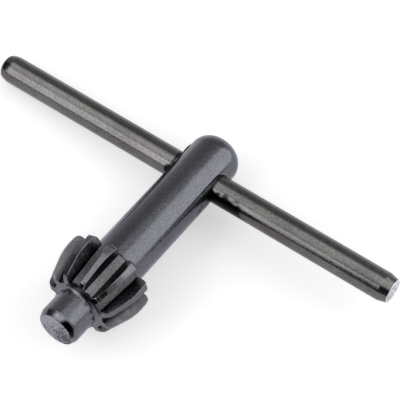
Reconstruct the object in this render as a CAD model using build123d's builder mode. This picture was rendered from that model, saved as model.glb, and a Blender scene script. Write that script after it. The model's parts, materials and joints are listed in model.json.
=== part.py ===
"""Drill chuck key with a T handle, lying on a flat surface as it comes to rest.

The key is two pieces of blackened steel. The body is turned in one piece: a round pilot with a
tapered nose, a crowned bevel pinion of eleven straight teeth, and a plain shank with a rounded end.
The handle is a plain round bar with tapered ends, pressed through a hole across the shank. Its
left end is worn round, and its right end still has its edges.

Lengths are in millimetres, angles in degrees. The key has a frame of its own, with its origin where
the two axes cross: x runs along the bar, y along the body from the pilot to the handle end, and z
square to both. Stations along the body are values of that y. The frame is then laid on the surface
z = 0, where the key rests on one tooth, on the end of the shank and on the left end of the bar.
"""
from build123d import *
from math import asin, atan, cos, degrees, hypot, radians, sin, sqrt, tan
import os

# Body, from the pilot to the handle end
pilot_diameter = 8.0
pilot_length = 6.3
nose_face_diameter = 7.0
nose_taper_length = 1.1
nose_blend = 1.25
nose_edge_radius = 0.2
pilot_fillet = 0.6
gear_diameter = 17.4
gear_length = 9.3
shank_diameter = 10.0
shank_length = 34.4
hole_to_end = 8.5
end_radius = 3.5
root_bevel = 0.6

# Pinion teeth: their tips rise on a cone from the front face, then run level to the back face
tooth_count = 11
front_diameter = 13.66
front_corner = 1.5
crown_radius = 9.0
level_length = 3.87
back_corner = 0.9
gap_floor = 1.57
flank_angle = 25.0
step_over_pilot = 1.15
step_over_shank = 1.55
first_gap_angle = 66.7
cutter_run_out = 1.0

# Handle bar
bar_diameter = 5.5
left_arm = 45.7
right_arm = 42.5
taper_length = 1.8
taper_depth = 0.45
taper_blend = 4.0
left_edge_radius = 1.0
mouth_chamfer = 0.3

# Radii and stations that follow from the sizes above
pilot_radius = pilot_diameter / 2
nose_face_radius = nose_face_diameter / 2
gear_radius = gear_diameter / 2
front_radius = front_diameter / 2
shank_radius = shank_diameter / 2
bar_radius = bar_diameter / 2
bar_end_radius = bar_radius - taper_depth

end_station = hole_to_end
gear_back = end_station - shank_length
gear_front = gear_back - gear_length
nose_station = gear_front - pilot_length

# Floor of the tooth gaps, which rises from the pilot towards the shank
floor_front = pilot_radius + step_over_pilot
floor_back = shank_radius + step_over_shank
floor_slope = degrees(atan((floor_back - floor_front) / gear_length))
gap_angles = [first_gap_angle + turn * 360 / tooth_count for turn in range(tooth_count)]


def half_gap_angle(station):
    """Half of the angle that a tooth gap opens at the tip radius, found by stepping to its flank."""
    floor = floor_front + (station - gear_front) * tan(radians(floor_slope))
    opening = 0.0
    for _ in range(20):
        depth = gear_radius * cos(opening) - floor
        opening = asin((gap_floor / 2 + depth * tan(radians(flank_angle))) / gear_radius)
    return degrees(opening)


# How the key lies: the dip of the body and the lean of the bar that bring all three contacts to z = 0
tooth_touch = gear_back - back_corner
end_touch = end_station - end_radius
taper_angle = atan(taper_depth / taper_length)
bar_touch = left_arm - taper_length - taper_blend * tan(taper_angle / 2)
half_gap = half_gap_angle(tooth_touch)
tooth_corners = [radians(angle + side * half_gap) for angle in gap_angles for side in (-1, 1)]

dip = 0.0
lean = 0.0
for _ in range(40):
    rise = sqrt(1 - dip**2 - lean**2)
    reach = max(-lean * cos(corner) - rise * sin(corner) for corner in tooth_corners)
    gear_depth = reach * (gear_radius - back_corner) + back_corner * hypot(reach, dip)
    end_depth = (shank_radius - end_radius) * sqrt(1 - dip**2) + end_radius
    bar_depth = (bar_radius - taper_blend) * sqrt(1 - lean**2) + taper_blend
    dip = (gear_depth - end_depth) / (end_touch - tooth_touch)
    axis_height = dip * end_touch + end_depth
    lean = (axis_height - bar_depth) / bar_touch

# The key's own frame, with the key centred over the origin of the surface
up = Vector(lean, -dip, sqrt(1 - dip**2 - lean**2))
east = (Vector(1, 0, 0) - up * lean).normalized()
north = up.cross(east)
bar_middle = (right_arm - left_arm) / 2
body_middle = (nose_station + end_station) / 2
key = Plane(
    origin=(-bar_middle * east.X, -body_middle * north.Y, axis_height),
    x_dir=(east.X, north.X, up.X),
    z_dir=(east.Z, north.Z, up.Z),
)
across_shank = Plane(key.origin, x_dir=key.y_dir, z_dir=key.x_dir)
body_axis = Axis(key.origin, key.y_dir)
bar_axis = Axis(key.origin, key.x_dir)


def gap_plane(angle):
    """Plane across the front end of a tooth gap, its y outwards and its z along the gap's floor."""
    front = Plane(key.from_local_coords((0, gear_front, 0)), x_dir=key.x_dir, z_dir=-key.y_dir)
    floor = Rot(0, 0, angle - 90) * Pos(0, floor_front, 0) * Rot(floor_slope, 0, 0)
    return Plane(front.location * floor)


# Body: pilot, pinion and shank, turned in one piece
with BuildPart() as key_body:
    with BuildSketch(key):
        with BuildLine():
            side = FilletPolyline(
                (0, nose_station),
                (nose_face_radius, nose_station),
                (pilot_radius, nose_station + nose_taper_length),
                (pilot_radius, gear_front),
                (front_radius, gear_front),
                (gear_radius, gear_back - level_length),
                (gear_radius, gear_back),
                (shank_radius + root_bevel, gear_back),
                (shank_radius, gear_back + root_bevel),
                (shank_radius, end_station),
                (0, end_station),
                radius=(
                    nose_edge_radius,
                    nose_blend,
                    pilot_fillet,
                    front_corner,
                    crown_radius,
                    back_corner,
                    0,
                    0,
                    end_radius,
                ),
            )
            Line(side @ 1, side @ 0)
        make_face()
    revolve(axis=body_axis)

    # Gaps between the teeth, open at the front and at the back
    gap_height = gear_radius - floor_front + cutter_run_out
    with BuildSketch(*[gap_plane(angle).offset(cutter_run_out) for angle in gap_angles]):
        Trapezoid(
            width=gap_floor + 2 * gap_height * tan(radians(flank_angle)),
            height=gap_height,
            left_side_angle=90 + flank_angle,
            align=(Align.CENTER, Align.MIN),
        )
    extrude(amount=-gear_length - 2 * cutter_run_out, mode=Mode.SUBTRACT)

    # Cross hole for the bar, with a small chamfer round each mouth
    with BuildSketch(across_shank):
        Circle(bar_radius)
    extrude(amount=shank_diameter, both=True, mode=Mode.SUBTRACT)
    mouths = key_body.edges(Select.LAST).filter_by(GeomType.LINE, reverse=True)
    chamfer(mouths, mouth_chamfer)

# Handle bar, line to line with the cross hole
with BuildPart() as handle_bar:
    with BuildSketch(key):
        with BuildLine():
            side = FilletPolyline(
                (-left_arm, 0),
                (-left_arm, bar_end_radius),
                (taper_length - left_arm, bar_radius),
                (right_arm - taper_length, bar_radius),
                (right_arm, bar_end_radius),
                (right_arm, 0),
                radius=(left_edge_radius, taper_blend, 0, 0),
            )
            Line(side @ 1, side @ 0)
        make_face()
    revolve(axis=bar_axis)

key_body.part.label = "key_body"
handle_bar.part.label = "handle_bar"

os.makedirs("parts", exist_ok=True)
export_step(key_body.part, "parts/key_body.step")
export_step(handle_bar.part, "parts/handle_bar.step")
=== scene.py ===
"""Dresses the drill chuck key for its studio picture.

The key is two pieces of blackened steel: a turned body with a bevel pinion, and the bar pressed
through it. Both are modelled here again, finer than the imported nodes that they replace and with
worn edges, and get their finishes. Lengths are millimetres in the key's own frame, whose origin is
where the two axes cross: x runs along the bar and y along the body, from the pilot to the handle
end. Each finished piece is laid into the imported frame, which is in metres.
"""
import json
import logging
from collections.abc import Callable
from dataclasses import dataclass
from enum import Enum
from math import atan, atan2, cos, hypot, pi, radians, sin, tan

import bmesh
import bpy
from mathutils import Matrix, Vector


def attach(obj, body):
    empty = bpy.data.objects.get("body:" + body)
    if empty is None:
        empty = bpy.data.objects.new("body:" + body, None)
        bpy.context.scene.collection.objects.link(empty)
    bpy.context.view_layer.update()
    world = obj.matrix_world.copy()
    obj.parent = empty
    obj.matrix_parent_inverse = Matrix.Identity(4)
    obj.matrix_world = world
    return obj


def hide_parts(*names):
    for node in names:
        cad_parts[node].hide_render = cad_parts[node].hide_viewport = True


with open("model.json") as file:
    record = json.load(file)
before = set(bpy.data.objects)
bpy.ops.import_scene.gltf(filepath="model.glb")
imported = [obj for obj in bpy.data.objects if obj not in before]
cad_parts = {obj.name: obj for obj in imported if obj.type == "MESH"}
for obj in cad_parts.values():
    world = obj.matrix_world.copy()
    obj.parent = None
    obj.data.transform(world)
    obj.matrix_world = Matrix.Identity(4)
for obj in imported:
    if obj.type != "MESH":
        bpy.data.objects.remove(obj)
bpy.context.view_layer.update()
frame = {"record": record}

log = logging.getLogger("chuck_key")
Socket = bpy.types.NodeSocket
Number = Socket | float
Colour = Socket | tuple
EdgeRule = Callable[[bmesh.types.BMEdge], bool]
FaceRule = Callable[[bmesh.types.BMFace], bool]
PolygonRule = Callable[[bpy.types.MeshPolygon], bool]

MILLIMETRE = 0.001
WHITE = (1, 1, 1, 1)

# How close counts as the same place, as on a curved wall, and as within the pinion's faces
SAME_PLACE = 0.002
ON_WALL = 0.01
WITHIN_FACES = 0.05

# Angles from which an edge is shaded sharp and from which a tooth's edge wears
SHARP_ANGLE = radians(40)
WORN_ANGLE = radians(24)

# The cosine above which a face looks straight up or down
STRAIGHT = 0.9

# The bevel's own number for keeping the slot of the faces beside it
KEEP_SLOT = -1

# The range that a noise mostly keeps to, and that of the sum of two
NOISE_RANGE = (0.3, 0.7)
SUM_RANGE = (0.7, 1.3)


class BodySurface(Enum):
    """The surfaces of the body, by their material slot."""

    TURNED = 0
    EDGE = 1
    FLANK = 2
    GAP_FLOOR = 3
    NOSE = 4
    CHIP = 5


class BarSurface(Enum):
    """The surfaces of the bar, by their material slot."""

    DRAWN = 0
    RIM = 1
    END = 2


class Axis(Enum):
    """The axis that a round piece is drawn out along."""

    BAR = 0
    BODY = 1


class Joining(Enum):
    """What a second shape does to a piece."""

    CUT_AWAY = "DIFFERENCE"
    ADD_ON = "UNION"


@dataclass(frozen=True)
class KeyFrame:
    """The key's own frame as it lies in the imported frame.

    Args:
        origin: Where the two axes cross, in metres.
        along_bar: Unit vector of x, towards the right end of the bar.
        along_body: Unit vector of y, from the pilot to the handle end.
    """

    origin: Vector
    along_bar: Vector
    along_body: Vector

    @classmethod
    def from_mounts(cls, mounts: list[dict]) -> "KeyFrame":
        """Finds the frame from the mounts of the pilot and of the right arm.

        Args:
            mounts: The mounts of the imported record.

        Returns:
            The key's own frame.
        """
        by_name = {mount["name"]: mount for mount in mounts}
        pilot_place = Vector(by_name["pilot"]["pos_m"])
        pilot_way = Vector(by_name["pilot"]["axis"])
        arm_place = Vector(by_name["right_arm"]["pos_m"])
        arm_way = Vector(by_name["right_arm"]["axis"])
        crossing = pilot_place + pilot_way * (arm_place - pilot_place).dot(pilot_way)
        return cls(crossing, arm_way, -pilot_way)

    def turn(self) -> Matrix:
        """The turn from the key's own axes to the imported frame's axes."""
        up = self.along_bar.cross(self.along_body)
        return Matrix((self.along_bar, self.along_body, up)).transposed()

    def placement(self) -> Matrix:
        """The way from the key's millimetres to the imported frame's metres."""
        move = Matrix.Translation(self.origin)
        return move @ self.turn().to_4x4() @ Matrix.Scale(MILLIMETRE, 4)


class Bench:
    """The hand operations that every piece shares."""

    @staticmethod
    def clear() -> None:
        """Deselects everything, so that the next shape is worked on alone."""
        bpy.ops.object.select_all(action="DESELECT")

    @staticmethod
    def pick(piece: bpy.types.Object) -> None:
        """Makes one piece the only selected and the active one.

        Args:
            piece: The piece.
        """
        Bench.clear()
        piece.select_set(True)
        bpy.context.view_layer.objects.active = piece

    @staticmethod
    def fix() -> bpy.types.Object:
        """Puts the place, turn and size of the active shape into its mesh, and returns it."""
        bpy.ops.object.transform_apply(location=True, rotation=True, scale=True)
        return bpy.context.object

    @staticmethod
    def put(piece: bpy.types.Object, place: Matrix) -> None:
        """Moves a piece from the origin to its place, which goes into its mesh.

        Args:
            piece: The piece.
            place: Its place, turn and size.
        """
        Bench.pick(piece)
        piece.matrix_world = place
        Bench.fix()

    @staticmethod
    def join(piece: bpy.types.Object, other: bpy.types.Object, joining: Joining = Joining.CUT_AWAY) -> None:
        """Cuts another shape out of a piece, or adds it on, and throws the other object away.

        Args:
            piece: The piece that is changed.
            other: A closed mesh.
            joining: What the other shape does to the piece.
        """
        Bench.pick(piece)
        modifier = piece.modifiers.new("join", "BOOLEAN")
        modifier.operation = joining.value
        modifier.solver = "EXACT"
        modifier.object = other
        bpy.ops.object.modifier_apply(modifier=modifier.name)
        bpy.data.objects.remove(other)

    @staticmethod
    def edit_edges(piece: bpy.types.Object, chosen: EdgeRule) -> None:
        """Goes into edit mode with only the edges selected that a rule chooses.

        Args:
            piece: The piece to edit.
            chosen: A rule that takes an edge and says whether it is selected.
        """
        Bench.pick(piece)
        bpy.ops.object.mode_set(mode="EDIT")
        bpy.ops.mesh.select_mode(type="EDGE")
        bpy.ops.mesh.select_all(action="DESELECT")
        for edge in bmesh.from_edit_mesh(piece.data).edges:
            edge.select_set(chosen(edge))
        bmesh.update_edit_mesh(piece.data)

    @staticmethod
    def edit_faces(piece: bpy.types.Object, chosen: FaceRule) -> None:
        """Goes into edit mode with only the faces selected that a rule chooses.

        Args:
            piece: The piece to edit.
            chosen: A rule that takes a face and says whether it is selected.
        """
        Bench.pick(piece)
        bpy.ops.object.mode_set(mode="EDIT")
        bpy.ops.mesh.select_mode(type="FACE")
        bpy.ops.mesh.select_all(action="DESELECT")
        for face in bmesh.from_edit_mesh(piece.data).faces:
            face.select_set(chosen(face))
        bmesh.update_edit_mesh(piece.data)

    @staticmethod
    def bevel_where(
        piece: bpy.types.Object, chosen: EdgeRule, offset: float, steps: int, slot: int = KEEP_SLOT
    ) -> None:
        """Bevels the edges that a rule chooses.

        Args:
            piece: The piece to bevel.
            chosen: A rule that takes an edge and says whether it is bevelled.
            offset: Distance from the old edge to each new one.
            steps: Number of faces across the bevel.
            slot: Material slot of the new faces, if they don't keep that of their neighbours.
        """
        Bench.edit_edges(piece, chosen)
        bpy.ops.mesh.bevel(
            offset_type="OFFSET",
            offset=offset,
            segments=steps,
            profile=0.5,
            affect="EDGES",
            clamp_overlap=False,
            material=slot,
        )
        bpy.ops.object.mode_set(mode="OBJECT")

    @staticmethod
    def close_up(piece: bpy.types.Object) -> None:
        """Merges doubled points, points the faces outwards and smooths all but the sharp edges.

        Args:
            piece: The piece.
        """
        Bench.pick(piece)
        bpy.ops.object.mode_set(mode="EDIT")
        bpy.ops.mesh.select_all(action="SELECT")
        bpy.ops.mesh.remove_doubles(threshold=SAME_PLACE)
        bpy.ops.mesh.normals_make_consistent(inside=False)
        bpy.ops.object.mode_set(mode="OBJECT")
        bpy.ops.object.shade_smooth_by_angle(angle=SHARP_ANGLE)

    @staticmethod
    def flatten_faces(piece: bpy.types.Object) -> None:
        """Keeps large faces flat, so that only the rounded edges between them turn the light.

        Args:
            piece: The piece.
        """
        Bench.pick(piece)
        modifier = piece.modifiers.new("flat faces", "WEIGHTED_NORMAL")
        modifier.mode = "FACE_AREA"
        modifier.weight = 100
        modifier.keep_sharp = True
        bpy.ops.object.modifier_apply(modifier=modifier.name)

    @staticmethod
    def give(piece: bpy.types.Object, finishes: tuple, key: KeyFrame) -> None:
        """Fills a piece's material slots.

        Args:
            piece: The piece.
            finishes: Its finishes, in the order of its surfaces.
            key: The frame that their patterns follow.
        """
        piece.data.materials.clear()
        for finish in finishes:
            piece.data.materials.append(finish.material(key))

    @staticmethod
    def surface_where(piece: bpy.types.Object, chosen: PolygonRule, surface: Enum) -> None:
        """Puts the faces that a rule chooses on one surface.

        Args:
            piece: The piece.
            chosen: A rule that takes a face and says whether it is on the surface.
            surface: The surface.
        """
        for face in piece.data.polygons:
            if chosen(face):
                face.material_index = surface.value

    @staticmethod
    def surface_all(cutter: bpy.types.Object, surface: Enum) -> None:
        """Puts a cutter on one surface, which what it cuts or adds then belongs to.

        Args:
            cutter: The cutter.
            surface: The surface.
        """
        for _ in type(surface):
            cutter.data.materials.append(None)
        Bench.surface_where(cutter, lambda face: True, surface)


@dataclass(frozen=True)
class Corner:
    """One corner of a turned profile.

    Args:
        station: Its place along the axis.
        radius: Its distance from the axis.
        fillet: The radius that rounds it, or 0 where it stays sharp.
        steps: Number of faces across the rounding.
    """

    station: float
    radius: float
    fillet: float = 0.0
    steps: int = 6


def turn_at(before: Corner, corner: Corner, after: Corner) -> float:
    """The angle that a profile turns through at a corner.

    Args:
        before: The corner before it.
        corner: The corner.
        after: The corner after it.

    Returns:
        The angle, in radians.
    """
    way_in = atan2(corner.radius - before.radius, corner.station - before.station)
    way_out = atan2(after.radius - corner.radius, after.station - corner.station)
    return abs(way_out - way_in)


def draw_out(name: str, axis: Axis, corners: list[Corner], segments: int) -> bpy.types.Object:
    """Draws a round piece out of a disc, ring by ring, and rounds its corners.

    Args:
        name: The piece's name.
        axis: The axis that it is drawn along.
        corners: The corners of its profile, from one end face to the other.
        segments: Number of faces around it.

    Returns:
        The closed piece.
    """
    along = axis.value
    first = corners[0]
    place = [0.0, 0.0, 0.0]
    place[along] = first.station
    turn = (0, pi / 2, 0) if axis is Axis.BAR else (pi / 2, 0, 0)
    Bench.clear()
    bpy.ops.mesh.primitive_circle_add(
        vertices=segments, radius=first.radius, fill_type="NGON", location=place, rotation=turn
    )
    piece = Bench.fix()
    piece.name = name

    bpy.ops.object.mode_set(mode="EDIT")
    bpy.ops.mesh.select_mode(type="FACE")
    bpy.ops.mesh.select_all(action="SELECT")
    for here, there in zip(corners, corners[1:]):
        move = [0.0, 0.0, 0.0]
        move[along] = there.station - here.station
        bpy.ops.mesh.extrude_region_move(TRANSFORM_OT_translate={"value": move})
        grow = [there.radius / here.radius] * 3
        grow[along] = 1.0
        place[along] = there.station
        bpy.ops.transform.resize(value=grow, center_override=place)
    bpy.ops.object.mode_set(mode="OBJECT")

    ends = [Corner(first.station, 0.0), *corners, Corner(corners[-1].station, 0.0)]
    for before, corner, after in zip(ends, ends[1:], ends[2:]):
        if corner.fillet:
            offset = corner.fillet * tan(turn_at(before, corner, after) / 2)
            Bench.bevel_where(piece, ring_rule(along, corner), offset, corner.steps)
    return piece


def ring_rule(along: int, corner: Corner) -> EdgeRule:
    """A rule that chooses the ring of edges at one corner of a turned profile.

    Args:
        along: Index of the axis.
        corner: The corner.

    Returns:
        A rule that takes an edge and says whether it belongs to the ring.
    """

    def on_ring(edge: bmesh.types.BMEdge) -> bool:
        """Whether both ends of an edge lie at the corner's station and radius.

        Args:
            edge: The edge.

        Returns:
            True if they do.
        """
        for vert in edge.verts:
            across = [vert.co[i] for i in range(3) if i != along]
            if abs(vert.co[along] - corner.station) > SAME_PLACE:
                return False
            if abs(hypot(*across) - corner.radius) > SAME_PLACE:
                return False
        return True

    return on_ring


@dataclass
class KeyBody:
    """The turned body: a round pilot, a crowned bevel pinion and a plain shank.

    Args:
        pilot_radius: Radius of the pilot.
        pilot_length: Length of the pilot, from its end face to the pinion.
        nose_face_radius: Radius of the pilot's end face.
        nose_taper_length: Length of the taper behind the end face.
        nose_blend: Radius that blends the taper into the pilot.
        nose_edge_radius: Radius that rounds the end face's edge.
        pilot_fillet: Radius of the fillet between the pilot and the pinion.
        gear_radius: Radius over the tips, where they are level.
        gear_length: Length of the pinion.
        front_radius: Radius over the tips at the pinion's front.
        front_corner: Radius that rounds the tips at the front.
        crown_radius: Radius of the crown, where the tips become level.
        level_length: Length of the level stretch of the tips.
        back_corner: Radius that rounds the tips at the back.
        shank_radius: Radius of the shank.
        shank_length: Length of the shank, from the pinion to the handle end.
        root_bevel: Bevel between the pinion and the shank.
        end_radius: Radius that rounds the handle end.
        hole_to_end: Distance from the bar's axis to the handle end.
        tooth_count: Number of teeth.
        gap_floor: Width of a gap's floor.
        flank_angle: Lean of each flank, in degrees.
        step_over_pilot: Height of the gap floors over the pilot, at the pinion's front.
        step_over_shank: Height of the gap floors over the shank, at the pinion's back.
        first_gap_angle: Direction of the first gap, in degrees from x towards z.
        cutter_run_out: How far the gap cutter runs out past the pinion.
        edge_wear: Width of the bevel on worn edges.
        edge_rise: How far over the front of the gap floors an edge has to reach to be worn.
        bar_radius: Radius of the bar.
        hole_clearance: Room between the bar and the wall of the cross hole.
        mouth_chamfer: Chamfer round each mouth of the cross hole.
        chip_angle: Direction of the chipped tooth, in degrees from x towards z.
        chip_scoops: Station, and half length, half width and depth, of each scoop of the chip.
        burr_angle: Direction of the raised lip, in degrees from x towards z.
        burr_station: Station of the raised lip.
        burr_size: Half width, half length and height of the raised lip.
        segments: Number of faces around the body.
        hole_segments: Number of faces around the cross hole.
        dent_segments: Number of faces around a scoop or lip.
        finishes: The finishes, in the order of BodySurface.
    """

    pilot_radius: float = 4.0
    pilot_length: float = 6.3
    nose_face_radius: float = 3.5
    nose_taper_length: float = 1.1
    nose_blend: float = 1.25
    nose_edge_radius: float = 0.2
    pilot_fillet: float = 0.6
    gear_radius: float = 8.7
    gear_length: float = 9.3
    front_radius: float = 6.83
    front_corner: float = 1.5
    crown_radius: float = 9.0
    level_length: float = 3.87
    back_corner: float = 0.9
    shank_radius: float = 5.0
    shank_length: float = 34.4
    root_bevel: float = 0.6
    end_radius: float = 3.5
    hole_to_end: float = 8.5

    tooth_count: int = 11
    gap_floor: float = 1.57
    flank_angle: float = 25.0
    step_over_pilot: float = 1.15
    step_over_shank: float = 1.55
    first_gap_angle: float = 66.7
    cutter_run_out: float = 1.0
    edge_wear: float = 0.08
    edge_rise: float = 0.2

    bar_radius: float = 2.75
    hole_clearance: float = 0.02
    mouth_chamfer: float = 0.3
    chip_angle: float = 49.9
    chip_scoops: tuple = ((-34.95, 0.45, 0.62, 0.42), (-33.9, 0.98, 0.5, 0.42))
    burr_angle: float = 151.0
    burr_station: float = 2.7
    burr_size: tuple = (0.28, 1.25, 0.2)
    segments: int = 176
    hole_segments: int = 96
    dent_segments: int = 32
    finishes: tuple = ()

    def __post_init__(self) -> None:
        """Works out the stations and the gap floors from the sizes."""
        self.end = self.hole_to_end
        self.gear_back = self.end - self.shank_length
        self.gear_front = self.gear_back - self.gear_length
        self.nose = self.gear_front - self.pilot_length
        self.floor_front = self.pilot_radius + self.step_over_pilot
        self.floor_back = self.shank_radius + self.step_over_shank

    def turn(self) -> bpy.types.Object:
        """Turns the body from the pilot's nose to the handle end.

        Returns:
            The closed body, with no gaps and no hole.
        """
        crown = self.gear_back - self.level_length
        corners = [
            Corner(self.nose, self.nose_face_radius, self.nose_edge_radius, 4),
            Corner(self.nose + self.nose_taper_length, self.pilot_radius, self.nose_blend, 10),
            Corner(self.gear_front, self.pilot_radius, self.pilot_fillet, 6),
            Corner(self.gear_front, self.front_radius, self.front_corner, 8),
            Corner(crown, self.gear_radius, self.crown_radius, 8),
            Corner(self.gear_back, self.gear_radius, self.back_corner, 7),
            Corner(self.gear_back, self.shank_radius + self.root_bevel),
            Corner(self.gear_back + self.root_bevel, self.shank_radius),
            Corner(self.end, self.shank_radius, self.end_radius, 16),
        ]
        return draw_out("key_body_finish", Axis.BODY, corners, self.segments)

    def gap_cutter(self, angle: float) -> bpy.types.Object:
        """Shapes the cutter of one tooth gap and turns it to its place.

        Args:
            angle: The gap's direction about the body's axis, in degrees from x towards z.

        Returns:
            A closed wedge that runs out over both faces of the pinion.
        """
        slope = atan((self.floor_back - self.floor_front) / self.gear_length)
        height = self.gear_radius - self.floor_front + self.cutter_run_out
        length = self.gear_length + 2 * self.cutter_run_out
        top = self.gap_floor + 2 * height * tan(radians(self.flank_angle))

        Bench.clear()
        bpy.ops.mesh.primitive_cube_add(
            size=1, location=(0, length / 2, height / 2), scale=(self.gap_floor, length, height)
        )
        cutter = Bench.fix()
        Bench.edit_faces(cutter, lambda face: face.normal.z > STRAIGHT)
        middle = (0, length / 2, height)
        bpy.ops.transform.resize(value=(top / self.gap_floor, 1, 1), center_override=middle)
        bpy.ops.object.mode_set(mode="OBJECT")
        Bench.surface_all(cutter, BodySurface.FLANK)
        Bench.surface_where(cutter, lambda face: face.normal.z < -STRAIGHT, BodySurface.GAP_FLOOR)

        run_out = Matrix.Translation((0, -self.cutter_run_out, 0))
        Bench.put(cutter, self.at(angle, self.gear_front, self.floor_front, slope) @ run_out)
        return cutter

    @staticmethod
    def at(angle: float, station: float, radius: float, slope: float = 0.0) -> Matrix:
        """A place round the body, with z outwards and y along the body.

        Args:
            angle: Its direction about the body's axis, in degrees from x towards z.
            station: Its place along the body.
            radius: Its distance from the axis.
            slope: How far y leans outwards, in radians.

        Returns:
            The place.
        """
        lean = Matrix.Translation((0, station, radius)) @ Matrix.Rotation(slope, 4, "X")
        return Matrix.Rotation(radians(90 - angle), 4, "Y") @ lean

    def cut_gaps(self, body: bpy.types.Object) -> None:
        """Cuts the gaps between the teeth.

        Args:
            body: The body.
        """
        for turn in range(self.tooth_count):
            Bench.join(body, self.gap_cutter(self.first_gap_angle + turn * 360 / self.tooth_count))

    def dent(self, size: tuple, place: Matrix) -> bpy.types.Object:
        """Shapes an egg of broken steel, to scoop out or to add on.

        Args:
            size: Half its width, its length and its height.
            place: Its place.

        Returns:
            The egg.
        """
        Bench.clear()
        bpy.ops.mesh.primitive_uv_sphere_add(
            segments=self.dent_segments, ring_count=self.dent_segments // 2, scale=size
        )
        egg = Bench.fix()
        Bench.put(egg, place)
        Bench.surface_all(egg, BodySurface.CHIP)
        return egg

    def chip_tooth(self, body: bpy.types.Object) -> None:
        """Scoops two dents out of the front of one tooth's tip, with a thin ridge left between.

        Args:
            body: The body.
        """
        rise = atan((self.gear_radius - self.front_radius) / (self.gear_length - self.level_length))
        for station, length, width, depth in self.chip_scoops:
            tip = self.front_radius + (station - self.gear_front) * tan(rise)
            Bench.join(body, self.dent((width, length, depth), self.at(self.chip_angle, station, tip, rise)))

    def raise_burr(self, body: bpy.types.Object) -> None:
        """Raises the thin lip that pressing the bar in left beside the left mouth.

        Args:
            body: The body.
        """
        place = self.at(self.burr_angle, self.burr_station, self.shank_radius)
        Bench.join(body, self.dent(self.burr_size, place), Joining.ADD_ON)

    def bore(self, body: bpy.types.Object) -> None:
        """Bores the cross hole and chamfers its two mouths.

        Args:
            body: The body.
        """
        Bench.clear()
        bpy.ops.mesh.primitive_cylinder_add(
            vertices=self.hole_segments,
            radius=self.bar_radius + self.hole_clearance,
            depth=4 * self.shank_radius,
            rotation=(0, pi / 2, 0),
        )
        Bench.join(body, Bench.fix())
        Bench.bevel_where(body, self.on_mouth, self.mouth_chamfer, 2, BodySurface.EDGE.value)

    def on_mouth(self, edge: bmesh.types.BMEdge) -> bool:
        """Whether an edge lies on the rim where the cross hole leaves the shank.

        Args:
            edge: The edge.

        Returns:
            True if it does.
        """
        first, second = (vert.co for vert in edge.verts)
        if first.x * second.x < 0:
            return False
        hole = self.bar_radius + self.hole_clearance
        for place in (first, second):
            if abs(hypot(place.y, place.z) - hole) > ON_WALL:
                return False
            if abs(hypot(place.x, place.z) - self.shank_radius) > ON_WALL:
                return False
        return True

    def on_tooth_edge(self, edge: bmesh.types.BMEdge) -> bool:
        """Whether an edge is a sharp outer one of the teeth, which wears.

        Args:
            edge: The edge.

        Returns:
            True if it is.
        """
        if not edge.is_convex or edge.calc_face_angle() < WORN_ANGLE:
            return False
        places = [vert.co for vert in edge.verts]
        for place in places:
            if not self.gear_front - WITHIN_FACES < place.y < self.gear_back + WITHIN_FACES:
                return False
        reach = max(hypot(place.x, place.z) for place in places)
        return reach > self.floor_front + self.edge_rise

    def build(self, key: KeyFrame) -> bpy.types.Object:
        """Builds the body in its place.

        Args:
            key: The frame that it is laid in.

        Returns:
            The finished body.
        """
        body = self.turn()
        Bench.close_up(body)
        Bench.give(body, self.finishes, key)
        Bench.surface_where(body, lambda face: face.center.y < self.nose + SAME_PLACE, BodySurface.NOSE)
        self.cut_gaps(body)
        self.chip_tooth(body)
        self.raise_burr(body)
        self.bore(body)
        Bench.close_up(body)
        Bench.bevel_where(body, self.on_tooth_edge, self.edge_wear, 2, BodySurface.EDGE.value)
        Bench.close_up(body)
        Bench.flatten_faces(body)
        Bench.put(body, key.placement())
        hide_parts("key_body")
        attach(body, "root")
        return body


@dataclass
class HandleBar:
    """The plain round bar, tapered at both ends; its left end is worn round.

    Args:
        radius: Radius of the bar.
        left_arm: Length from the body's axis to the left end.
        right_arm: Length from the body's axis to the right end.
        taper_length: Length of the taper at each end.
        taper_depth: How much smaller its radius is at each end.
        taper_blend: Radius that blends the left taper into the bar.
        left_edge_radius: Radius that rounds the edge of the left end.
        right_blend: Radius that softens the start of the right taper.
        right_edge_wear: Radius that rounds the edge of the right end.
        rim_facing: The cosine above which a face belongs to the right end's rim.
        end_facing: The cosine above which it belongs to the right end's face.
        segments: Number of faces around the bar.
        finishes: The finishes, in the order of BarSurface.
    """

    radius: float = 2.75
    left_arm: float = 45.7
    right_arm: float = 42.5
    taper_length: float = 1.8
    taper_depth: float = 0.45
    taper_blend: float = 4.0
    left_edge_radius: float = 1.0
    right_blend: float = 1.2
    right_edge_wear: float = 0.1
    rim_facing: float = 0.4
    end_facing: float = 0.98
    segments: int = 112
    finishes: tuple = ()

    def build(self, key: KeyFrame) -> bpy.types.Object:
        """Builds the bar in its place.

        Args:
            key: The frame that it is laid in.

        Returns:
            The finished bar.
        """
        end_radius = self.radius - self.taper_depth
        corners = [
            Corner(-self.left_arm, end_radius, self.left_edge_radius, 10),
            Corner(self.taper_length - self.left_arm, self.radius, self.taper_blend, 8),
            Corner(self.right_arm - self.taper_length, self.radius, self.right_blend, 4),
            Corner(self.right_arm, end_radius, self.right_edge_wear, 2),
        ]
        bar = draw_out("handle_bar_finish", Axis.BAR, corners, self.segments)
        Bench.close_up(bar)
        Bench.give(bar, self.finishes, key)
        Bench.surface_where(bar, lambda face: face.normal.x > self.rim_facing, BarSurface.RIM)
        Bench.surface_where(bar, lambda face: face.normal.x > self.end_facing, BarSurface.END)
        Bench.flatten_faces(bar)
        Bench.put(bar, key.placement())
        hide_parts("handle_bar")
        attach(bar, "root")
        return bar


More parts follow.
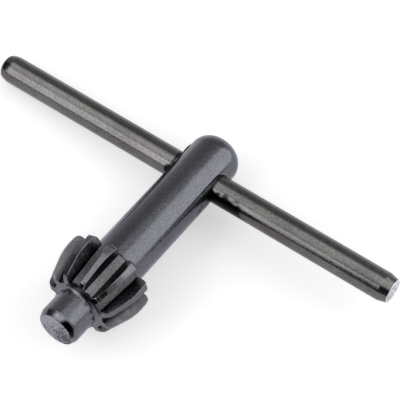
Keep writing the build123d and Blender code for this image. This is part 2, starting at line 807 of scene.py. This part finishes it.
class NodeSheet:
    """A node tree, whose nodes are added and wired one at a time."""

    def __init__(self, tree: bpy.types.NodeTree) -> None:
        """Starts on a node tree."""
        self.tree = tree

    def add(self, kind: str, inputs: dict | None = None, **settings: object) -> bpy.types.Node:
        """Adds a node.

        Args:
            kind: The node's type.
            inputs: Values or sockets for its inputs.
            **settings: Values for its properties.

        Returns:
            The new node.
        """
        node = self.tree.nodes.new(kind)
        for name, value in settings.items():
            setattr(node, name, value)
        self.feed(node, inputs or {})
        return node

    def feed(self, node: bpy.types.Node, inputs: dict) -> None:
        """Sets or wires a node's inputs.

        Args:
            node: The node.
            inputs: Values or sockets for its inputs, by name or place.
        """
        for name, value in inputs.items():
            if isinstance(value, bpy.types.NodeSocket):
                self.tree.links.new(value, node.inputs[name])
            else:
                node.inputs[name].default_value = value

    def calc(self, operation: str, *values: Number) -> Socket:
        """The result of a sum on one to three values."""
        return self.add("ShaderNodeMath", dict(enumerate(values)), operation=operation).outputs[0]

    def ramp(self, value: Socket, low: float, high: float, start: float, end: float) -> Socket:
        """Maps low..high to start..end and holds it there.

        Args:
            value: The value.
            low: The value that becomes start.
            high: The value that becomes end.
            start: The result at low.
            end: The result at high.

        Returns:
            The result.
        """
        inputs = {"Value": value, "From Min": low, "From Max": high, "To Min": start, "To Max": end}
        return self.add("ShaderNodeMapRange", inputs).outputs["Result"]

    def swing(self, noise: Socket, reach: float) -> Socket:
        """A noise spread out to swing between minus and plus its reach."""
        return self.ramp(noise, *NOISE_RANGE, -reach, reach)

    def steps(self, value: Socket, stops: tuple) -> Socket:
        """A level that follows a row of stops.

        Args:
            value: The value, from 0 to 1.
            stops: Place and level of each stop, in order.

        Returns:
            The level.
        """
        node = self.add("ShaderNodeValToRGB", {"Fac": value})
        elements = node.color_ramp.elements
        for place, level in stops[1:-1]:
            elements.new(place)
        for element, (place, level) in zip(elements, stops):
            element.position = place
            element.color = (level, level, level, 1)
        return node.outputs["Color"]

    def mix(self, share: Number, first: Number, second: Number) -> Socket:
        """A value between two, by a share from 0 to 1."""
        return self.add("ShaderNodeMix", {0: share, 2: first, 3: second}).outputs[0]

    def blend(self, share: Number, first: Colour, second: Colour) -> Socket:
        """A colour between two, by a share from 0 to 1."""
        return self.add("ShaderNodeMix", {0: share, 6: first, 7: second}, data_type="RGBA").outputs[2]

    def scale_colour(self, colour: Colour, share: Socket) -> Socket:
        """A colour made lighter or darker.

        Args:
            colour: The colour.
            share: What it is multiplied by, which may be over 1.

        Returns:
            The new colour.
        """
        inputs = {0: 1.0, 6: colour, 7: share}
        node = self.add("ShaderNodeMix", inputs, data_type="RGBA", blend_type="MULTIPLY", clamp_result=False)
        return node.outputs[2]

    def key_place(self, key: KeyFrame) -> Socket:
        """The place on a piece in millimetres of the key's own frame.

        Args:
            key: The frame.

        Returns:
            The place.
        """
        inputs = {
            "Vector": self.add("ShaderNodeTexCoord").outputs["Object"],
            "Location": key.origin,
            "Rotation": key.turn().to_euler("XYZ"),
            "Scale": (MILLIMETRE,) * 3,
        }
        return self.add("ShaderNodeMapping", inputs, vector_type="TEXTURE").outputs["Vector"]

    def noise(self, place: Socket, pitch: tuple, detail: float) -> Socket:
        """A cloud of noise with its own pitch along each axis.

        Args:
            place: The place in millimetres.
            pitch: Repeats for each millimetre along x, y and z.
            detail: Number of finer layers.

        Returns:
            The noise, about 0.5 with a spread of about 0.2.
        """
        stretched = self.add("ShaderNodeMapping", {"Vector": place, "Scale": pitch})
        inputs = {"Vector": stretched.outputs["Vector"], "Scale": 1.0, "Detail": detail}
        return self.add("ShaderNodeTexNoise", inputs).outputs["Fac"]


@dataclass(frozen=True)
class Patch:
    """A ragged patch of oil and dirt.

    Args:
        centre: The middle of the patch.
        reach: How far it spreads along x, y and z.
        shade: What is left of the colour in the patch, or more than 1 where a highlight is painted.
        ragged: How far its edge wanders, as a share of its reach.
        full_to: Share of the reach up to which the patch is full.
        gone_at: Share of the reach at which it has gone.
    """

    centre: tuple
    reach: tuple
    shade: float = 0.06
    ragged: float = 0.3
    full_to: float = 0.8
    gone_at: float = 1.05

    def dim(self, sheet: NodeSheet, place: Socket, wander: Socket) -> Socket:
        """The share of the colour that the patch leaves.

        Args:
            sheet: The material's nodes.
            place: The place in millimetres.
            wander: The noise that makes the patch's edge ragged.

        Returns:
            The shade in the patch and 1 outside it.
        """
        inputs = {"Vector": place, "Location": self.centre, "Scale": self.reach}
        near = sheet.add("ShaderNodeMapping", inputs, vector_type="TEXTURE").outputs["Vector"]
        far = sheet.add("ShaderNodeVectorMath", {0: near}, operation="LENGTH").outputs["Value"]
        far = sheet.calc("ADD", far, sheet.swing(wander, self.ragged))
        return sheet.ramp(far, self.full_to, self.gone_at, self.shade, 1.0)


@dataclass(frozen=True)
class RootShade:
    """Painted shade: black at the roots of the teeth, thinning out up their flanks, with a little painted
    brightening at the tips.

    Args:
        station: Station where the gap floors start.
        radius: Radius of the gap floors there.
        slope: Rise of the gap floors for each millimetre along the body.
        seam: Height above the floor of the black line of painted shade in the corner.
        seam_blend: Height over which that line ends.
        low: Height above the floor where the painted shade starts to thin out.
        clear: Height above the floor where the flank is free of the painted shade.
        ragged: How far the painted shade's border wanders up and down.
        shade: What is left of the colour at the root.
        tip_shade: What the colour becomes at the tips, where more than 1 is a painted brightening.
    """

    station: float = -35.2
    radius: float = 5.15
    slope: float = 0.15
    seam: float = 0.3
    seam_blend: float = 0.2
    low: float = 0.1
    clear: float = 1.7
    ragged: float = 0.2
    shade: float = 0.24
    tip_shade: float = 1.15

    def dim(self, sheet: NodeSheet, place: Socket, wander: Socket) -> Socket:
        """The share of the colour that the painted shade leaves.

        Args:
            sheet: The material's nodes.
            place: The place in millimetres.
            wander: The noise that makes the painted shade's border ragged.

        Returns:
            The shade at the roots, rising to a little over 1 at the tips.
        """
        parts = sheet.add("ShaderNodeSeparateXYZ", {"Vector": place}).outputs
        square = sheet.calc("MULTIPLY", parts["Z"], parts["Z"])
        radius = sheet.calc("SQRT", sheet.calc("MULTIPLY_ADD", parts["X"], parts["X"], square))
        on_axis = self.radius - self.slope * self.station
        floor = sheet.calc("MULTIPLY_ADD", parts["Y"], self.slope, on_axis)
        height = sheet.calc("ADD", sheet.calc("SUBTRACT", radius, floor), sheet.swing(wander, self.ragged))
        corner = sheet.ramp(height, self.seam, self.seam + self.seam_blend, self.shade, 1.0)
        flank = sheet.ramp(height, self.low, self.clear, self.shade, self.tip_shade)
        return sheet.calc("MULTIPLY", corner, flank)


@dataclass(frozen=True)
class Steel:
    """A steel surface with stains, fine grain and machining marks.

    Args:
        name: The material's name.
        bare: Colour where the blackening is thin.
        stained: Colour where it is thick.
        smooth: Roughness of the smoothest places.
        rough: Roughness of the roughest places.
        marks: Repeats of the machining marks for each millimetre along x, y and z.
        mark_depth: Depth of the marks.
        grain: Repeats of the grain for each millimetre.
        grain_spread: How far the grain lightens and darkens the colour.
        stain_pitch: Repeats of the stains for each millimetre.
        tint: Colour of the wide, weak patches of temper colour.
        dirt_and_painted_light: Patches of dirt, of painted shade and of painted highlight, and the painted
            shade at the roots of the teeth.
        wander_pitch: Repeats, for each millimetre, of the noise that makes their borders ragged.
        stain_edge: Levels of the stains' noise between which one colour turns into the other.
        temper_pitch: Repeats of the temper colour for each millimetre along x, y and z.
        temper_edge: Levels of its noise between which it comes in.
        temper_share: How much of the colour it takes over at most.
    """

    name: str
    bare: tuple
    stained: tuple
    smooth: float
    rough: float
    marks: tuple
    mark_depth: float
    grain: float = 2.4
    grain_spread: float = 0.2
    stain_pitch: float = 0.16
    tint: tuple = (0.128, 0.136, 0.136, 1)
    dirt_and_painted_light: tuple = ()
    wander_pitch: float = 0.7
    stain_edge: tuple = (0.38, 0.62)
    temper_pitch: tuple = (0.11, 0.2, 0.17)
    temper_edge: tuple = (0.45, 0.65)
    temper_share: float = 0.45

    def material(self, key: KeyFrame) -> bpy.types.Material:
        """Builds the material.

        Args:
            key: The frame that its patterns follow.

        Returns:
            The material.
        """
        material = bpy.data.materials.new(self.name)
        material.use_nodes = True
        sheet = NodeSheet(material.node_tree)
        place = sheet.key_place(key)
        cloud = sheet.noise(place, (self.stain_pitch,) * 3, 5.0)
        colour = sheet.blend(sheet.ramp(cloud, *self.stain_edge, 0.0, 1.0), self.bare, self.stained)
        temper = sheet.noise(place, self.temper_pitch, 2.0)
        temper = sheet.ramp(temper, *self.temper_edge, 0.0, self.temper_share)
        colour = sheet.blend(temper, colour, self.tint)
        grain = sheet.noise(place, (self.grain,) * 3, 2.0)
        marks = sheet.noise(place, self.marks, 3.0)
        both = sheet.calc("ADD", grain, marks)
        light = sheet.ramp(both, *SUM_RANGE, 1.0 - self.grain_spread, 1.0 + self.grain_spread)
        wander = sheet.noise(place, (self.wander_pitch,) * 3, 3.0)
        # Dirt, painted shade and painted highlights darken or brighten the colour
        for dirt_and_light_mark in self.dirt_and_painted_light:
            light = sheet.calc("MULTIPLY", light, dirt_and_light_mark.dim(sheet, place, wander))
        height = sheet.calc("MULTIPLY", both, self.mark_depth * MILLIMETRE)
        bump = sheet.add("ShaderNodeBump", {"Height": height, "Distance": 1.0})
        inputs = {
            "Base Color": sheet.scale_colour(colour, light),
            "Metallic": 1.0,
            "Roughness": sheet.ramp(both, *SUM_RANGE, self.smooth, self.rough),
            "Normal": bump.outputs["Normal"],
        }
        sheet.feed(material.node_tree.nodes["Principled BSDF"], inputs)
        return material


TURNED_STEEL = Steel(
    name="turned_body_steel",
    bare=(0.142, 0.140, 0.155, 1),
    stained=(0.120, 0.117, 0.138, 1),
    smooth=0.17,
    rough=0.27,
    marks=(2.4, 4.2, 2.4),
    mark_depth=0.006,
    grain=3.6,
    grain_spread=0.26,
    tint=(0.122, 0.138, 0.144, 1),
    dirt_and_painted_light=(
        # Painted shade in front of the right mouth, and a painted dark reflection along the shank's left
        Patch((4.5, -3.4, -1.9), (2.4, 4.4, 3.0)),
        Patch((-4.0, -9.0, 3.0), (0.9, 10.5, 1.0)),
        # Painted shade round the front of the pinion, from tooth to tooth, where the teeth meet the pilot
        Patch((-1.2, -35.5, 5.9), (1.1, 0.9, 0.6), 0.06, 0.1),
        Patch((0.75, -35.5, 6.4), (1.4, 0.85, 0.8), 0.06, 0.1),
        Patch((2.8, -35.5, 5.8), (1.2, 0.8, 0.8), 0.06, 0.1),
        Patch((3.9, -35.5, 4.5), (1.1, 0.7, 0.9), 0.06, 0.1),
        Patch((4.8, -35.5, 3.2), (0.6, 0.6, 1.1), 0.06, 0.1),
        # On the nose's taper, a black painted dark reflection and a painted highlight
        Patch((2.85, -41.2, 2.6), (2.0, 0.72, 2.2), 0.06, 0.1),
        Patch((0.7, -41.0, 3.8), (1.3, 0.5, 0.8), 1.45, 0.1),
        # A ring behind the pinion
        Patch((0.0, -25.25, 0.0), (8.0, 0.5, 8.0), 0.3, 0.1),
    ),
)
DRAWN_STEEL = Steel(
    name="drawn_bar_steel",
    bare=(0.148, 0.143, 0.141, 1),
    stained=(0.112, 0.106, 0.108, 1),
    smooth=0.14,
    rough=0.24,
    marks=(4.8, 2.4, 2.4),
    mark_depth=0.006,
    grain=4.0,
    grain_spread=0.34,
    tint=(0.130, 0.134, 0.126, 1),
    dirt_and_painted_light=(
        # Painted shade and painted dark reflection on the bar's front, beside each mouth, where the shank
        # shades it
        Patch((7.2, -2.6, 0.4), (5.0, 1.6, 2.1)),
        Patch((-5.0, -2.5, 1.0), (0.9, 0.9, 1.0)),
        # A ring of painted shade where it leaves each mouth
        Patch((-4.6, 0.0, 0.0), (0.5, 4.0, 4.0), 0.2, 0.1),
        Patch((4.6, 0.0, 0.0), (0.5, 4.0, 4.0), 0.2, 0.1),
    ),
)
WORN_STEEL = Steel(
    name="worn_edge_steel",
    bare=(0.26, 0.26, 0.27, 1),
    stained=(0.12, 0.12, 0.13, 1),
    smooth=0.2,
    rough=0.35,
    marks=(2.0, 2.0, 2.0),
    mark_depth=0.004,
    stain_pitch=0.5,
)
FLANK_STEEL = Steel(
    name="flank_steel",
    bare=(0.140, 0.138, 0.150, 1),
    stained=(0.090, 0.088, 0.100, 1),
    smooth=0.2,
    rough=0.34,
    marks=(2.5, 2.5, 2.5),
    mark_depth=0.008,
    stain_pitch=0.3,
    dirt_and_painted_light=(
        # Painted shade at the roots of the teeth, and a little painted brightening at the tips
        RootShade(),
        # Painted shade: three flanks black towards the back, and one a little darker all along
        Patch((1.9, -28.6, 7.4), (1.0, 4.4, 1.6), 0.15),
        Patch((4.0, -28.6, 6.4), (1.2, 4.4, 1.2), 0.15),
        Patch((5.6, -28.6, 5.2), (1.0, 4.4, 1.2), 0.2),
        Patch((8.0, -29.5, -1.6), (1.0, 5.5, 1.3), 0.8),
        # A painted highlight on two flanks
        Patch((-2.0, -32.6, 6.7), (1.5, 4.4, 2.2), 2.2),
        Patch((6.3, -33.0, 3.0), (2.0, 4.0, 1.5), 1.8),
    ),
)
FLOOR_STEEL = Steel(
    name="milled_floor_steel",
    bare=(0.145, 0.144, 0.150, 1),
    stained=(0.092, 0.091, 0.098, 1),
    smooth=0.26,
    rough=0.4,
    marks=(6.0, 2.0, 6.0),
    mark_depth=0.01,
    grain_spread=0.4,
    dirt_and_painted_light=(
        # Painted shade, black at the front of two floors
        Patch((-0.9, -35.25, 5.2), (1.3, 0.85, 0.5), 0.08, 0.1),
        Patch((2.1, -35.25, 4.8), (1.1, 0.6, 0.7), 0.08, 0.1),
        # Painted shade on one floor and a painted highlight on another, along their whole length
        Patch((-1.0, -30.5, 5.9), (1.2, 6.5, 1.0), 0.72),
        Patch((4.9, -30.5, 3.3), (1.2, 6.5, 1.2), 1.35),
    ),
)
NOSE_STEEL = Steel(
    name="faced_nose_steel",
    bare=(0.285, 0.290, 0.330, 1),
    stained=(0.215, 0.212, 0.246, 1),
    smooth=0.25,
    rough=0.42,
    marks=(3.6, 3.6, 3.6),
    mark_depth=0.03,
    grain_spread=0.3,
    stain_pitch=0.3,
    tint=(0.21, 0.22, 0.235, 1),
    dirt_and_painted_light=(Patch((2.2, -41.5, -1.1), (2.7, 1.0, 2.4), 0.14, 1.3),),
    wander_pitch=1.9,
)
# Near black, on the scoops of the chipped tooth and on the raised lip beside the left mouth
CHIP_STEEL = Steel(
    name="chip_and_lip_near_black_steel",
    bare=(0.030, 0.028, 0.030, 1),
    stained=(0.012, 0.012, 0.012, 1),
    smooth=0.3,
    rough=0.5,
    marks=(3.0, 3.0, 3.0),
    mark_depth=0.01,
    tint=(0.02, 0.02, 0.02, 1),
)
# Bare steel on the rounded rim of the right end, made near white as a painted highlight
RIM_STEEL = Steel(
    name="bare_rim_steel_with_painted_highlight",
    bare=(0.96, 0.95, 0.97, 1),
    stained=(0.75, 0.74, 0.76, 1),
    smooth=0.25,
    rough=0.35,
    marks=(2.0, 2.0, 2.0),
    mark_depth=0.004,
    tint=(0.85, 0.84, 0.86, 1),
)
# Bare steel on the sawn right end, its near-white level a painted highlight
END_STEEL = Steel(
    name="sawn_end_steel_with_painted_highlight",
    bare=(0.86, 0.85, 0.87, 1),
    stained=(0.22, 0.21, 0.23, 1),
    smooth=0.3,
    rough=0.45,
    marks=(3.0, 3.0, 3.0),
    mark_depth=0.03,
    grain_spread=0.4,
    stain_pitch=1.5,
    tint=(0.5, 0.49, 0.5, 1),
)


def way_to(azimuth: float, elevation: float) -> Vector:
    """The direction at an azimuth, counted from the front towards the right, and an elevation.

    Args:
        azimuth: Degrees from -Y towards +X.
        elevation: Degrees above the floor.

    Returns:
        A unit vector.
    """
    turn, rise = radians(azimuth), radians(elevation)
    return Vector((sin(turn) * cos(rise), -cos(turn) * cos(rise), sin(rise)))


@dataclass(frozen=True)
class Softbox:
    """A soft rectangular lamp that faces the key.

    Args:
        name: The lamp's name.
        azimuth: Its direction, in degrees from the front towards the right.
        elevation: Its direction above the floor, in degrees.
        width: How wide it looks from the key, in degrees.
        height: How high it looks from the key, in degrees.
        level: How bright it looks, where 1 is white.
        distance: Its distance from the key, in metres.
    """

    name: str
    azimuth: float
    elevation: float
    width: float
    height: float
    level: float
    distance: float = 0.6

    def hang(self, aim: Vector) -> None:
        """Hangs the lamp so that it faces a point.

        Args:
            aim: The point, in metres.
        """
        data = bpy.data.lights.new(self.name, "AREA")
        data.shape = "RECTANGLE"
        data.size = 2 * self.distance * tan(radians(self.width) / 2)
        data.size_y = 2 * self.distance * tan(radians(self.height) / 2)
        # A flat lamp looks as bright as its power divided by its area and by pi
        data.energy = self.level * pi * data.size * data.size_y
        lamp = bpy.data.objects.new(self.name, data)
        bpy.context.scene.collection.objects.link(lamp)
        away = way_to(self.azimuth, self.elevation)
        lamp.location = aim + away * self.distance
        lamp.rotation_mode = "QUATERNION"
        lamp.rotation_quaternion = (-away).to_track_quat("-Z", "Y")


@dataclass
class Studio:
    """The floor, the room, the lamps and the camera.

    Args:
        floor_size: Side of the floor, in metres.
        floor_white: Colour level of the floor.
        floor_camera_shine: What is added to the floor for the camera, so that it is white.
        floor_mirror_shine: What is added to the floor in reflections.
        mirror_colour: Colour of what is added in reflections.
        room_level: How bright the room is as a lamp.
        seen_level: How bright the room is to the camera.
        wall_levels: How bright the room is in reflections, by the sine of the height.
        dark_azimuth: Middle of the dark side of the walls, in degrees from the front.
        dark_spread: Cosines between which the walls turn from light to dark.
        dark_share: What is left of the walls' level on the dark side.
        ceiling_rise: Sines of the height between which the ceiling comes in.
        ceiling_level: How bright the ceiling is in reflections.
        aim: The point that the camera and the lamps aim at, in millimetres.
        camera_azimuth: The camera's direction, in degrees from the front towards the right.
        camera_elevation: Its direction above the floor, in degrees.
        camera_roll: Its turn about its own axis, in degrees.
        camera_distance: Its distance from the aim, in millimetres.
        lens: Its focal length, in millimetres.
        sensor: Width of its sensor, in millimetres.
        clip: The nearest and the furthest that it sees, in metres.
        lamps: The lamps.
    """

    floor_size: float = 4.0
    floor_white: float = 0.8
    floor_camera_shine: float = 0.42
    floor_mirror_shine: float = 0.32
    mirror_colour: tuple = (1.0, 0.93, 1.12, 1)
    room_level: float = 0.5
    seen_level: float = 1.0
    wall_levels: tuple = ((0.0, 0.62), (0.12, 0.62), (0.3, 0.5), (0.5, 0.38), (0.8, 0.3), (1.0, 0.2))
    dark_azimuth: float = -8.0
    dark_spread: tuple = (-0.15, 0.15)
    dark_share: float = 0.12
    ceiling_rise: tuple = (0.78, 0.92)
    ceiling_level: float = 1.5
    aim: tuple = (4.872, 12.731, 5.551)
    camera_azimuth: float = 34.844
    camera_elevation: float = 60.474
    camera_roll: float = 1.05
    camera_distance: float = 294.54
    lens: float = 144.65
    sensor: float = 36.0
    clip: tuple = (0.01, 20)
    lamps: tuple = (
        Softbox("front_left_box", -33, 27, 30, 40, 2.55),
        Softbox("left_box", -57, 41, 16, 18, 1.2),
        Softbox("top_left_box", -73, 57, 60, 18, 0.95),
        Softbox("right_back_box", 136, 30, 46, 52, 1.55),
        Softbox("right_box", 95, 36, 30, 28, 0.6),
    )

    def lay_floor(self) -> None:
        """Lays a plain pale floor that stays white to the camera and in reflections."""
        Bench.clear()
        bpy.ops.mesh.primitive_plane_add(size=self.floor_size)
        floor = Bench.fix()
        floor.name = "floor"
        material = bpy.data.materials.new("pale_floor")
        material.use_nodes = True
        sheet = NodeSheet(material.node_tree)
        path = sheet.add("ShaderNodeLightPath")
        shine = sheet.mix(path.outputs["Is Camera Ray"], 0.0, self.floor_camera_shine)
        shine = sheet.mix(path.outputs["Is Glossy Ray"], shine, self.floor_mirror_shine)
        inputs = {
            "Base Color": (self.floor_white,) * 3 + (1,),
            "Roughness": 1.0,
            "Specular IOR Level": 0.0,
            "Emission Color": sheet.blend(path.outputs["Is Glossy Ray"], WHITE, self.mirror_colour),
            "Emission Strength": shine,
        }
        sheet.feed(material.node_tree.nodes["Principled BSDF"], inputs)
        floor.data.materials.append(material)

    def light_room(self) -> None:
        """Makes a room that is white to the camera, and has dark walls in reflections."""
        world = bpy.data.worlds.new("room")
        bpy.context.scene.world = world
        world.use_nodes = True
        sheet = NodeSheet(world.node_tree)
        path = sheet.add("ShaderNodeLightPath")
        way = sheet.add("ShaderNodeTexCoord").outputs["Generated"]
        height = sheet.add("ShaderNodeSeparateXYZ", {"Vector": way}).outputs["Z"]
        walls = sheet.steps(height, self.wall_levels)
        towards = sheet.add(
            "ShaderNodeVectorMath", {0: way, 1: way_to(self.dark_azimuth, 0.0)}, operation="DOT_PRODUCT"
        )
        low, high = self.dark_spread
        shade = sheet.ramp(towards.outputs["Value"], low, high, 1.0, self.dark_share)
        low, high = self.ceiling_rise
        ceiling = sheet.ramp(height, low, high, 0.0, self.ceiling_level)
        walls = sheet.calc("ADD", sheet.calc("MULTIPLY", walls, shade), ceiling)
        others = sheet.mix(path.outputs["Is Glossy Ray"], self.room_level, walls)
        seen = sheet.mix(path.outputs["Is Camera Ray"], others, self.seen_level)
        sheet.feed(world.node_tree.nodes["Background"], {"Color": WHITE, "Strength": seen})

    def set_camera(self) -> None:
        """Sets the camera at the photograph's viewing angle."""
        data = bpy.data.cameras.new("camera")
        data.lens = self.lens
        data.sensor_width = self.sensor
        data.clip_start, data.clip_end = self.clip
        camera = bpy.data.objects.new("camera", data)
        bpy.context.scene.collection.objects.link(camera)
        aim = Vector(self.aim) * MILLIMETRE
        away = way_to(self.camera_azimuth, self.camera_elevation)
        camera.location = aim + away * self.camera_distance * MILLIMETRE
        swing = Matrix.Rotation(radians(self.camera_azimuth), 4, "Z")
        tilt = Matrix.Rotation(radians(90 - self.camera_elevation), 4, "X")
        roll = Matrix.Rotation(radians(self.camera_roll), 4, "Z")
        camera.rotation_euler = (swing @ tilt @ roll).to_euler()
        bpy.context.scene.camera = camera

    def build(self) -> None:
        """Builds the whole studio."""
        bpy.context.scene.view_settings.view_transform = "Standard"
        self.lay_floor()
        self.light_room()
        for lamp in self.lamps:
            lamp.hang(Vector(self.aim) * MILLIMETRE)
        self.set_camera()


def main() -> None:
    """Builds the key's pieces in order, then the studio."""
    logging.basicConfig(level=logging.INFO, format="%(message)s")
    key = KeyFrame.from_mounts(frame["record"]["mounts"])
    body_finishes = (TURNED_STEEL, WORN_STEEL, FLANK_STEEL, FLOOR_STEEL, NOSE_STEEL, CHIP_STEEL)
    bar_finishes = (DRAWN_STEEL, RIM_STEEL, END_STEEL)
    for maker in (KeyBody(finishes=body_finishes), HandleBar(finishes=bar_finishes)):
        piece = maker.build(key)
        log.info("%s: %d faces", piece.name, len(piece.data.polygons))
    Studio().build()
    log.info("studio: floor, room, lamps and camera")


if __name__ == "__main__":
    main()
